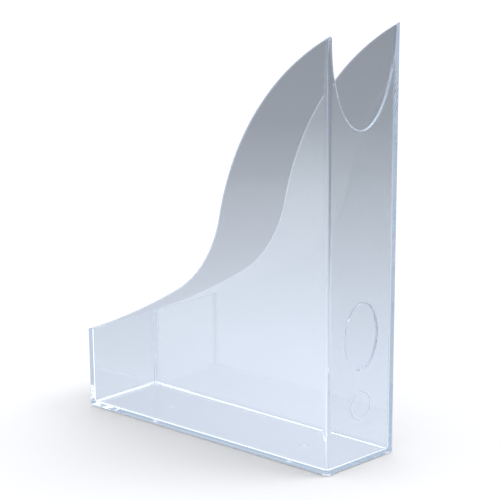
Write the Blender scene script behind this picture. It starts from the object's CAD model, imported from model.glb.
"""The looks of a clear, one-piece magazine rack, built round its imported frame.

The rack is built upright and square, cut and rounded there, split into its named regions, and
then leaned outward as the mould's draft does. All sizes are in metres.
"""

import math

import bmesh
import bpy
from mathutils import Matrix, Vector


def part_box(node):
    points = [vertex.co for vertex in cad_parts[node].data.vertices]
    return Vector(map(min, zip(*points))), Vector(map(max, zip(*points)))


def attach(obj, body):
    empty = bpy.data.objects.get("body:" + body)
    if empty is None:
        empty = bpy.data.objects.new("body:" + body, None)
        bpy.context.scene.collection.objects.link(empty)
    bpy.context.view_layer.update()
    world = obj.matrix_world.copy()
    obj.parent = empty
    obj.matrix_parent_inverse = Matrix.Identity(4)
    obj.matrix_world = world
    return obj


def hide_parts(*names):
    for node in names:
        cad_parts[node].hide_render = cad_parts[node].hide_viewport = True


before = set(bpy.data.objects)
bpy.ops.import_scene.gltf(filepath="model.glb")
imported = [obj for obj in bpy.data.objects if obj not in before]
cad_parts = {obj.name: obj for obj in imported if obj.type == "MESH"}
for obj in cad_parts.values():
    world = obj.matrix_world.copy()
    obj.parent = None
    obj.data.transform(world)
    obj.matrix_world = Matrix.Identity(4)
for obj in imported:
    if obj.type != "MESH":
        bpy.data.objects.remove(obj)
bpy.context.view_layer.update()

MM = 0.001

# The rack's driving dimensions. Three heights come from the frame, and the rest repeat its design.
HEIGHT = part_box("spine_panel")[1].z
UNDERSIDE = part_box("base_plate")[0].z
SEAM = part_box("base_plate")[1].z
FRONT_HEIGHT = 59.5 * MM
HALF_DEPTH = 117 * MM
HALF_WIDTH = 34.45 * MM
WALL = 2.2 * MM
FLOOR_TOP = UNDERSIDE + 2.5 * MM
END_DRAFT = 0.011
SIDE_DRAFT = 0.0059
FRONT_TOP_X = -HALF_DEPTH - END_DRAFT * FRONT_HEIGHT
SPINE_TOP_X = HALF_DEPTH + END_DRAFT * HEIGHT
MIDDLE_X = (FRONT_TOP_X + SPINE_TOP_X) / 2
INNER_DEPTH = HALF_DEPTH - WALL
INNER_WIDTH = HALF_WIDTH - WALL

OUTER_CORNER = 0.8 * MM
OUTER_BOTTOM_EDGE = 0.5 * MM
INNER_CORNER = 3 * MM
INNER_BOTTOM_EDGE = 2.5 * MM
SMALLEST_CORNER = 0.05 * MM
RIM = 0.7 * MM  # the rounding of every cut edge

# The side walls' top edge: its slopes at the front, at the two joins of its arcs, and at the spine.
EDGE_HEADINGS = [math.radians(a) for a in (22.4, 31.8, 77.6, 29.3)]
FIRST_EDGE_RADIUS = 633 * MM
EDGE_STEP = 0.9 * MM

# Two ellipses in the spine: half-width, half-height and height of the centre.
NOTCH = (32.6 * MM, 68.5 * MM, HEIGHT)
HOLE = (16.6 * MM, 23.7 * MM, 92.7 * MM)

EMBLEM_RADIUS = 9.85 * MM  # to the middle of its raised line
EMBLEM_HALF_LINE = 0.6 * MM
EMBLEM_RISE = 0.35 * MM
EMBLEM_CENTRE = 43.5 * MM

GATE_X = 66 * MM
GATE_GROOVES = [(0.55 * MM, 0.5 * MM), (3 * MM, 1 * MM)]  # radius and half-width of each
GATE_GROOVE_DEPTH = 0.35 * MM

FOOT_RADIUS = 2.8 * MM
FOOT_ROUNDING = 0.4 * MM
FOOT_INSET = 3.4 * MM

MARGIN = 20 * MM  # how far the cutting solids run past the rack
MITRE_REACH = 8 * MM
FILLET_STEPS = 14
ROUND_STEPS = 96
RIM_STEPS = 5

# Material slots: polished surface, the planes where regions join, and surface left rough.
GLASS, JOIN, ETCHED = 0, 1, 2


# --- Mesh tools ---------------------------------------------------------------------------


def mesh_object(name, points, faces):
    """A mesh whose faces all point outward."""
    mesh = bpy.data.meshes.new(name)
    mesh.from_pydata(points, [], faces)
    outward = bmesh.new()
    outward.from_mesh(mesh)
    bmesh.ops.recalc_face_normals(outward, faces=outward.faces)
    outward.to_mesh(mesh)
    outward.free()
    made = bpy.data.objects.new(name, mesh)
    bpy.context.collection.objects.link(made)
    return made


def plastic_object(name, points, faces, slot):
    made = mesh_object(name, points, faces)
    for material in (clear_plastic, joined_plastic, etched_plastic):
        made.data.materials.append(material)
    made.data.polygons.foreach_set("material_index", [slot] * len(faces))
    return made


def loft(name, rings, slot=GLASS):
    """A closed solid through a list of rings with equal numbers of points."""
    count = len(rings[0])
    points = [p for ring in rings for p in ring]
    faces = [list(reversed(range(count)))]
    for k in range(len(rings) - 1):
        for i in range(count):
            j = (i + 1) % count
            a, b = k * count, (k + 1) * count
            faces.append([a + i, a + j, b + j, b + i])
    faces.append([(len(rings) - 1) * count + i for i in range(count)])
    return plastic_object(name, points, faces, slot)


def region(plan, low, high):
    """An upright block that keeps one region of the moulding."""
    return loft("region", [[(x, y, z) for x, y in plan] for z in (low, high)], JOIN)


def lathe_ring(name, section, place, slot=GLASS):
    """A closed ring: section is a loop of (radius, height), turned about place's own Z."""
    rings = []
    for k in range(ROUND_STEPS):
        turn = Matrix.Rotation(2 * math.pi * k / ROUND_STEPS, 4, "Z")
        rings.append([place @ (turn @ Vector((r, 0, z))) for r, z in section])
    count = len(section)
    points = [p for ring in rings for p in ring]
    faces = []
    for k in range(ROUND_STEPS):
        a, b = k * count, (k + 1) % ROUND_STEPS * count
        for i in range(count):
            j = (i + 1) % count
            faces.append([a + i, a + j, b + j, b + i])
    return plastic_object(name, points, faces, slot)


def combine(body, cutter, operation):
    """Joins, cuts or intersects body with cutter, and uses cutter up."""
    change = body.modifiers.new("change", "BOOLEAN")
    change.solver = "MANIFOLD"
    change.operation = operation
    change.object = cutter
    shape = body.evaluated_get(bpy.context.evaluated_depsgraph_get())
    old, body.data = body.data, bpy.data.meshes.new_from_object(shape)
    body.modifiers.clear()
    bpy.data.meshes.remove(old)
    bpy.data.meshes.remove(cutter.data)


def copy_of(body, name):
    made = bpy.data.objects.new(name, body.data.copy())
    bpy.context.collection.objects.link(made)
    return made


def quarter(radius, steps):
    """How far a rounded edge stands back from each face: pairs from the side to the top."""
    angles = [math.pi / 2 * k / steps for k in range(steps + 1)]
    return [(radius * (1 - math.sin(a)), radius * (1 - math.cos(a))) for a in angles]


# --- The rack's solids, before its draft ----------------------------------------------------


def rounded_rectangle(half_depth, half_width, radius, z):
    loop = []
    for corner, (sx, sy) in enumerate([(1, 1), (-1, 1), (-1, -1), (1, -1)]):
        for k in range(FILLET_STEPS + 1):
            a = math.pi / 2 * (corner + k / FILLET_STEPS)
            x = sx * (half_depth - radius) + radius * math.cos(a)
            y = sy * (half_width - radius) + radius * math.sin(a)
            loop.append((x, y, z))
    return loop


def rounded_block(name, inset, bottom, corner, edge):
    """A tall block whose upright corners and bottom edge are rounded."""
    rings = []
    for back, rise in quarter(edge, FILLET_STEPS):
        rings.append(rounded_rectangle(
            HALF_DEPTH - inset - back, HALF_WIDTH - inset - back,
            max(corner - back, SMALLEST_CORNER), bottom + rise))
    rings.append(rounded_rectangle(
        HALF_DEPTH - inset, HALF_WIDTH - inset, corner, HEIGHT + MARGIN))
    return loft(name, rings)


def arc_run(start, end):
    """Where an arc of unit radius ends, from one heading to the next."""
    turn = math.copysign(1, end - start)
    return Vector((turn * (math.sin(end) - math.sin(start)),
                   turn * (math.cos(start) - math.cos(end))))


def edge_radii():
    """The side walls' three radii: the last two make their edge end on the spine's top."""
    first, second, third = (arc_run(EDGE_HEADINGS[i], EDGE_HEADINGS[i + 1]) for i in range(3))
    left = Vector((SPINE_TOP_X - FRONT_TOP_X, HEIGHT - FRONT_HEIGHT)) - FIRST_EDGE_RADIUS * first
    spread = second.cross(third)
    return FIRST_EDGE_RADIUS, left.cross(third) / spread, second.cross(left) / spread


def top_edge():
    """The side walls' top edge as (point, heading) pairs, from the front to the spine."""
    point = Vector((FRONT_TOP_X, FRONT_HEIGHT))
    line = [(point.copy(), EDGE_HEADINGS[0])]
    for i, radius in enumerate(edge_radii()):
        start, end = EDGE_HEADINGS[i], EDGE_HEADINGS[i + 1]
        steps = max(2, round(radius * abs(end - start) / EDGE_STEP))
        for k in range(1, steps + 1):
            heading = start + (end - start) * k / steps
            line.append((point + radius * arc_run(start, heading), heading))
        point = line[-1][0]
    return line


def without_end_draft(x, z):
    return x / (1 + END_DRAFT * z / HALF_DEPTH)


def without_side_draft(y, z):
    return y / (1 + SIDE_DRAFT * z / HALF_WIDTH)


def top_cutter():
    """All that is above the top edges. It dips at each wall's faces, which rounds their rims."""
    stations = [(-HALF_WIDTH - MARGIN, RIM)]
    for face, side in [(-HALF_WIDTH, 1), (-INNER_WIDTH, -1), (INNER_WIDTH, 1), (HALF_WIDTH, -1)]:
        rim = [(face + side * back, dip) for dip, back in quarter(RIM, RIM_STEPS)]
        stations += rim if side > 0 else rim[::-1]
    stations.append((HALF_WIDTH + MARGIN, RIM))
    line = top_edge()
    past_front = (line[0][0] - Vector((MARGIN, 0)), 0)
    reach = Vector((math.cos(line[-1][1]), math.sin(line[-1][1]))) * MARGIN
    past_spine = (line[-1][0] + reach, line[-1][1])
    rings = []
    for y, dip in stations:
        ring = []
        for point, heading in [past_front, *line, past_spine]:
            lowered = point + dip * Vector((math.sin(heading), -math.cos(heading)))
            ring.append((without_end_draft(*lowered), y, lowered.y))
        ring.append((ring[-1][0], y, HEIGHT + 2 * MARGIN))
        ring.append((ring[0][0], y, HEIGHT + 2 * MARGIN))
        rings.append(ring)
    return loft("top_cutter", rings)


def ellipse_cutter(name, half_width, half_height, centre):
    """Runs through the spine, and flares at both its faces, which rounds the rims."""
    stations = [(INNER_DEPTH - MARGIN, RIM)]
    stations += [(INNER_DEPTH + back, flare) for flare, back in quarter(RIM, RIM_STEPS)]
    stations += [(HALF_DEPTH - back, flare) for flare, back in quarter(RIM, RIM_STEPS)][::-1]
    stations.append((HALF_DEPTH + MARGIN, RIM))
    rings = []
    for x, flare in stations:
        ring = []
        for k in range(ROUND_STEPS * 2):
            a = math.pi * k / ROUND_STEPS
            y = (half_width + flare) * math.cos(a)
            z = centre + (half_height + flare) * math.sin(a)
            ring.append((x, without_side_draft(y, z), z))
        rings.append(ring)
    return loft(name, rings)


def half_round(centre, half_width, height, root):
    """A ring's section: half an ellipse that stands on a root, as (radius, height) pairs."""
    loop = [(centre - half_width, -root), (centre + half_width, -root)]
    for k in range(RIM_STEPS * 2 + 1):
        a = math.pi * k / (RIM_STEPS * 2)
        loop.append((centre + half_width * math.cos(a), height * math.sin(a)))
    return loop


def emblem_ring():
    """A blank raised ring on the outside of the spine."""
    section = half_round(EMBLEM_RADIUS, EMBLEM_HALF_LINE, EMBLEM_RISE, WALL / 2)
    place = Matrix.Translation((HALF_DEPTH, 0, EMBLEM_CENTRE)) @ Matrix.Rotation(
        math.pi / 2, 4, "Y")
    return lathe_ring("emblem_ring", section, place, ETCHED)


def gate_groove(x, radius, half_width):
    """A round groove about a moulding gate, in the floor's underside."""
    section = half_round(radius, half_width, GATE_GROOVE_DEPTH, UNDERSIDE / 2)
    return lathe_ring("gate_groove", section, Matrix.Translation((x, 0, UNDERSIDE)))


def foot_stud(x, y):
    """A short stud with a rounded rim. It starts inside the floor."""
    rings = []
    for back, z in [*quarter(FOOT_ROUNDING, RIM_STEPS), (0, UNDERSIDE + WALL / 2)]:
        ring = []
        for k in range(ROUND_STEPS // 2):
            a = 4 * math.pi * k / ROUND_STEPS
            ring.append((x + (FOOT_RADIUS - back) * math.cos(a),
                         y + (FOOT_RADIUS - back) * math.sin(a), z))
        rings.append(ring)
    return loft("foot_stud", rings)


FOOT_PLACES = {
    "foot_front_left": (-1, -1),
    "foot_front_right": (-1, 1),
    "foot_rear_left": (1, -1),
    "foot_rear_right": (1, 1),
}


def foot_centre(name):
    sx, sy = FOOT_PLACES[name]
    return sx * (HALF_DEPTH - FOOT_INSET), sy * (HALF_WIDTH - FOOT_INSET)


def moulding():
    """The whole rack, closed and in one piece, before its draft."""
    body = rounded_block("moulding", 0, UNDERSIDE, OUTER_CORNER, OUTER_BOTTOM_EDGE)
    bay = rounded_block("bay", WALL, FLOOR_TOP, INNER_CORNER, INNER_BOTTOM_EDGE)
    combine(body, bay, "DIFFERENCE")
    combine(body, top_cutter(), "DIFFERENCE")
    combine(body, ellipse_cutter("notch", *NOTCH), "DIFFERENCE")
    combine(body, ellipse_cutter("hole", *HOLE), "DIFFERENCE")
    combine(body, emblem_ring(), "UNION")
    for x in (-GATE_X, GATE_X):
        for radius, half_width in GATE_GROOVES:
            combine(body, gate_groove(x, radius, half_width), "DIFFERENCE")
    for name in FOOT_PLACES:
        combine(body, foot_stud(*foot_centre(name)), "UNION")
    return body


# --- Materials ----------------------------------------------------------------------------

PLASTIC_IOR = 1.59
SURFACE_COLOUR = (0.985, 0.992, 1, 1)
BODY_COLOUR = (0.12, 0.52, 0.92, 1)  # what a long way through the plastic leaves of white
BODY_DENSITY = 0.05


def add_absorption(tree, output):
    """A faint blue, which needs a long way through the plastic to show."""
    absorb = tree.nodes.new("ShaderNodeVolumeAbsorption")
    absorb.inputs["Color"].default_value = BODY_COLOUR
    absorb.inputs["Density"].default_value = BODY_DENSITY
    tree.links.new(absorb.outputs["Volume"], output.inputs["Volume"])


def make_plastic(name, roughness, transmission):
    material = bpy.data.materials.new(name)
    material.use_nodes = True
    tree = material.node_tree
    tree.nodes.clear()
    output = tree.nodes.new("ShaderNodeOutputMaterial")
    surface = tree.nodes.new("ShaderNodeBsdfPrincipled")
    surface.inputs["Base Color"].default_value = SURFACE_COLOUR
    surface.inputs["Transmission Weight"].default_value = transmission
    surface.inputs["IOR"].default_value = PLASTIC_IOR
    surface.inputs["Roughness"].default_value = roughness
    tree.links.new(surface.outputs["BSDF"], output.inputs["Surface"])
    add_absorption(tree, output)
    return material


def make_joined_plastic():
    """The planes where two regions of the moulding join: light goes straight through."""
    material = bpy.data.materials.new("joined_polystyrene")
    material.use_nodes = True
    tree = material.node_tree
    tree.nodes.clear()
    output = tree.nodes.new("ShaderNodeOutputMaterial")
    surface = tree.nodes.new("ShaderNodeBsdfTransparent")
    tree.links.new(surface.outputs["BSDF"], output.inputs["Surface"])
    add_absorption(tree, output)
    return material


clear_plastic = make_plastic("clear_polystyrene", roughness=0.0, transmission=1.0)
etched_plastic = make_plastic("etched_polystyrene", roughness=0.35, transmission=0.75)
joined_plastic = make_joined_plastic()


# --- The named pieces -----------------------------------------------------------------------


def end_plan(side):
    """The front's or the spine's region from above, mitred at the corners."""
    near, far = side * (HALF_DEPTH - MITRE_REACH), side * (HALF_DEPTH + MITRE_REACH)
    plan = [(near, MITRE_REACH - HALF_WIDTH), (far, -MITRE_REACH - HALF_WIDTH),
            (far, MITRE_REACH + HALF_WIDTH), (near, HALF_WIDTH - MITRE_REACH)]
    return plan if side > 0 else plan[::-1]


def side_plan(side):
    """A side wall's region from above, mitred at the corners."""
    near, far = side * (HALF_WIDTH - MITRE_REACH), side * (HALF_WIDTH + MITRE_REACH)
    plan = [(MITRE_REACH - HALF_DEPTH, near), (HALF_DEPTH - MITRE_REACH, near),
            (HALF_DEPTH + MITRE_REACH, far), (-MITRE_REACH - HALF_DEPTH, far)]
    return plan if side > 0 else plan[::-1]


def square_plan(x, y, half):
    return [(x - half, y - half), (x + half, y - half), (x + half, y + half), (x - half, y + half)]


def foot_region(name):
    x, y = foot_centre(name)
    return region(square_plan(x, y, FOOT_INSET), -MARGIN, UNDERSIDE)


def drafted(piece):
    """Leans the upright faces outward, and moves the piece to its place in the frame."""
    for vertex in piece.data.vertices:
        x, y, z = vertex.co
        vertex.co.x = x * (1 + END_DRAFT * z / HALF_DEPTH) - MIDDLE_X
        vertex.co.y = y * (1 + SIDE_DRAFT * z / HALF_WIDTH)
    piece.data.update()


def finish_piece(piece, node):
    drafted(piece)
    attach(piece, "root")
    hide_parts(node)


def add_pieces():
    whole = moulding()
    walls = {
        "front_panel": end_plan(-1),
        "spine_panel": end_plan(1),
        "side_wall_left": side_plan(-1),
        "side_wall_right": side_plan(1),
    }
    for node, plan in walls.items():
        piece = copy_of(whole, "clear_" + node)
        combine(piece, region(plan, SEAM, HEIGHT + MARGIN), "INTERSECT")
        finish_piece(piece, node)
    for node in FOOT_PLACES:
        piece = copy_of(whole, "clear_" + node)
        combine(piece, foot_region(node), "INTERSECT")
        finish_piece(piece, node)
    base = copy_of(whole, "clear_base_plate")
    combine(base, region(square_plan(0, 0, HALF_DEPTH + MARGIN), -MARGIN, SEAM), "INTERSECT")
    for node in FOOT_PLACES:
        combine(base, foot_region(node), "DIFFERENCE")
    finish_piece(base, "base_plate")
    bpy.data.objects.remove(whole)


# --- Camera ---------------------------------------------------------------------------------

CAMERA_ANGLES = (43.282, 14.967, -0.475)  # azimuth, elevation and roll in degrees
CAMERA_TARGET = Vector((12.59, 0, 135.82)) * MM
CAMERA_DISTANCE = 1880 * MM
CAMERA_SENSOR = 36  # in millimetres, as is the lens
CAMERA_LENS = 191.97


def add_camera():
    azimuth, elevation, roll = (math.radians(a) for a in CAMERA_ANGLES)
    back = Vector((math.sin(azimuth) * math.cos(elevation),
                   -math.cos(azimuth) * math.cos(elevation), math.sin(elevation)))
    data = bpy.data.cameras.new("camera")
    data.sensor_width = CAMERA_SENSOR
    data.lens = CAMERA_LENS
    camera = bpy.data.objects.new("camera", data)
    bpy.context.collection.objects.link(camera)
    camera.rotation_mode = "QUATERNION"
    aim = (-back).to_track_quat("-Z", "Y")
    camera.rotation_quaternion = aim @ Matrix.Rotation(roll, 3, "Z").to_quaternion()
    camera.location = CAMERA_TARGET + back * CAMERA_DISTANCE
    bpy.context.scene.camera = camera


# --- Stage and light --------------------------------------------------------------------------

STAGE_HALF = 9  # half the floor's side
FLOOR_PAINT = (0.9, 0.905, 0.92, 1)
DOME = (1.05, 1.055, 1.07, 1)
KEY_STRENGTH = 0.65
KEY_SPREAD = math.radians(40)
KEY_DIRECTION = Vector((0.73, 0.68, 1.0))
BOUNCES = 200  # light that the clear walls trap leaves them only after many bounces
LAYERS = 64  # how many joins light may cross

# The plastic shows a graded room, in (place, brightness) stops. On the floor the place is the
# distance from the pool of light, and above it the sine of the height over the horizon.
POOL_CENTRE = (0.1, 0.1)

# Seen through the plastic.
THROUGH_TINT = (0.92, 1.0, 1.155)
FLOOR_THROUGH = [(0.0, 0.75), (0.25, 0.6), (0.5, 0.43), (0.8, 0.27), (2.0, 0.27), (6.0, 0.4)]
ROOM_SEEN = [(0.0, 0.4), (0.3, 0.5), (0.5, 1.6), (0.8, 3.0)]

# Mirrored by it: the floor on the rack's left side, and on its right.
MIRROR_TINT = (0.92, 1.0, 1.08)
FLOOR_MIRRORED = [(0.0, 1.5), (0.9, 1.75), (1.2, 0.9), (2.0, 0.5)]
FAR_SIDE_MIRRORED = [(0.0, 0.9), (0.8, 0.65), (1.2, 0.4), (2.0, 0.15)]
SIDE_BLEND = (5.0, 0.5)  # how fast the far side takes over along Y, and its share at the middle

# Seen after being trapped in the walls, on the floor and round it.
EDGE_TINT = (0.87, 1.0, 1.2)
EDGE_SEEN = [(0.0, 0.6), (0.6, 0.5), (1.2, 0.45)]
EDGE_LIGHT = (0.39, 0.49, 0.63, 1)
FLOOR_TRAPPED_FROM = 2  # the number of reflections from which light counts as trapped
ROOM_TRAPPED_FROM = 4


def maths(tree, operation, *values):
    node = tree.nodes.new("ShaderNodeMath")
    node.operation = operation
    for socket, value in zip(node.inputs, values):
        if isinstance(value, (int, float)):
            socket.default_value = value
        else:
            tree.links.new(value, socket)
    return node.outputs["Value"]


def graded(tree, value, stops, tint):
    """A tinted brightness that runs through (value, brightness) stops."""
    reach = stops[-1][0]
    node = tree.nodes.new("ShaderNodeValToRGB")
    ramp = node.color_ramp
    while len(ramp.elements) < len(stops):
        ramp.elements.new(1)
    for element, (place, brightness) in zip(ramp.elements, stops):
        element.position = place / reach
        element.color = (*[brightness * part for part in tint], 1)
    tree.links.new(maths(tree, "DIVIDE", value, reach), node.inputs["Fac"])
    return node.outputs["Color"]


def mix_colour(tree, fac, a, b):
    node = tree.nodes.new("ShaderNodeMix")
    node.data_type = "RGBA"
    tree.links.new(fac, node.inputs["Factor"])
    for name, value in (("A", a), ("B", b)):
        socket = [s for s in node.inputs if s.name == name and s.type == "RGBA"][0]
        if isinstance(value, tuple):
            socket.default_value = value
        else:
            tree.links.new(value, socket)
    return [s for s in node.outputs if s.type == "RGBA"][0]


def at_least(tree, depth, count):
    """1 where a number of bounces has reached count, and 0 below it."""
    return maths(tree, "GREATER_THAN", depth, count - 0.5)


def seen_in_plastic(tree, trapped_from):
    """Tells light that reaches the eye through the plastic, off it, or after it was trapped."""
    path = tree.nodes.new("ShaderNodeLightPath")
    mirrored = path.outputs["Glossy Depth"]
    turns = maths(tree, "ADD", path.outputs["Transmission Depth"], mirrored)
    scattered = at_least(tree, path.outputs["Diffuse Depth"], 1)
    straight = maths(tree, "SUBTRACT", 1, scattered)
    seen = maths(tree, "MULTIPLY", at_least(tree, turns, 1), straight)
    return seen, at_least(tree, mirrored, 1), at_least(tree, mirrored, trapped_from)


def distance_from_pool(tree, x, y):
    dx = maths(tree, "SUBTRACT", x, POOL_CENTRE[0])
    dy = maths(tree, "SUBTRACT", y, POOL_CENTRE[1])
    squares = maths(tree, "ADD", maths(tree, "MULTIPLY", dx, dx), maths(tree, "MULTIPLY", dy, dy))
    return maths(tree, "SQRT", squares)


def make_floor_material():
    """Plain pale paint, except that the plastic shows the graded room in its place."""
    material = bpy.data.materials.new("floor")
    material.use_nodes = True
    tree = material.node_tree
    tree.nodes.clear()
    output = tree.nodes.new("ShaderNodeOutputMaterial")
    paint = tree.nodes.new("ShaderNodeBsdfDiffuse")
    paint.inputs["Color"].default_value = FLOOR_PAINT
    geometry = tree.nodes.new("ShaderNodeNewGeometry")
    split = tree.nodes.new("ShaderNodeSeparateXYZ")
    tree.links.new(geometry.outputs["Position"], split.inputs[0])
    distance = distance_from_pool(tree, split.outputs["X"], split.outputs["Y"])
    through = graded(tree, distance, FLOOR_THROUGH, THROUGH_TINT)
    near_side = graded(tree, distance, FLOOR_MIRRORED, MIRROR_TINT)
    far_side = graded(tree, distance, FAR_SIDE_MIRRORED, MIRROR_TINT)
    side = maths(tree, "MULTIPLY_ADD", split.outputs["Y"], *SIDE_BLEND)
    side.node.use_clamp = True
    off = mix_colour(tree, side, near_side, far_side)
    seen, reflected, trapped = seen_in_plastic(tree, FLOOR_TRAPPED_FROM)
    colour = mix_colour(tree, reflected, through, off)
    edge = graded(tree, distance, EDGE_SEEN, EDGE_TINT)
    colour = mix_colour(tree, trapped, colour, edge)
    glow = tree.nodes.new("ShaderNodeEmission")
    tree.links.new(colour, glow.inputs["Color"])
    mix = tree.nodes.new("ShaderNodeMixShader")
    tree.links.new(seen, mix.inputs["Fac"])
    tree.links.new(paint.outputs[0], mix.inputs[1])
    tree.links.new(glow.outputs[0], mix.inputs[2])
    tree.links.new(mix.outputs[0], output.inputs["Surface"])
    material.cycles.emission_sampling = "NONE"
    return material


def add_floor():
    corners = [(-STAGE_HALF, -STAGE_HALF, 0), (STAGE_HALF, -STAGE_HALF, 0),
               (STAGE_HALF, STAGE_HALF, 0), (-STAGE_HALF, STAGE_HALF, 0)]
    floor = mesh_object("floor", corners, [[0, 1, 2, 3]])
    floor.data.materials.append(make_floor_material())


def add_world():
    world = bpy.data.worlds.new("world")
    bpy.context.scene.world = world
    world.use_nodes = True
    world.cycles.sampling_method = "NONE"
    tree = world.node_tree
    tree.nodes.clear()
    output = tree.nodes.new("ShaderNodeOutputWorld")
    place = tree.nodes.new("ShaderNodeTexCoord")
    split = tree.nodes.new("ShaderNodeSeparateXYZ")
    tree.links.new(place.outputs["Generated"], split.inputs[0])
    through = graded(tree, split.outputs["Z"], ROOM_SEEN, THROUGH_TINT)
    seen, _, trapped = seen_in_plastic(tree, ROOM_TRAPPED_FROM)
    through = mix_colour(tree, trapped, through, EDGE_LIGHT)
    colour = mix_colour(tree, seen, DOME, through)
    back = tree.nodes.new("ShaderNodeBackground")
    tree.links.new(colour, back.inputs["Color"])
    tree.links.new(back.outputs[0], output.inputs["Surface"])


def add_key_light():
    light = bpy.data.lights.new("key", "SUN")
    light.energy = KEY_STRENGTH
    light.angle = KEY_SPREAD
    made = bpy.data.objects.new("key", light)
    made.rotation_euler = KEY_DIRECTION.to_track_quat("Z", "Y").to_euler()
    bpy.context.collection.objects.link(made)


add_camera()
add_pieces()
add_floor()
add_world()
add_key_light()

scene = bpy.context.scene
scene.view_settings.view_transform = "Standard"
scene.cycles.use_denoising = True
scene.cycles.max_bounces = BOUNCES
scene.cycles.transmission_bounces = BOUNCES
scene.cycles.glossy_bounces = BOUNCES
scene.cycles.transparent_max_bounces = LAYERS
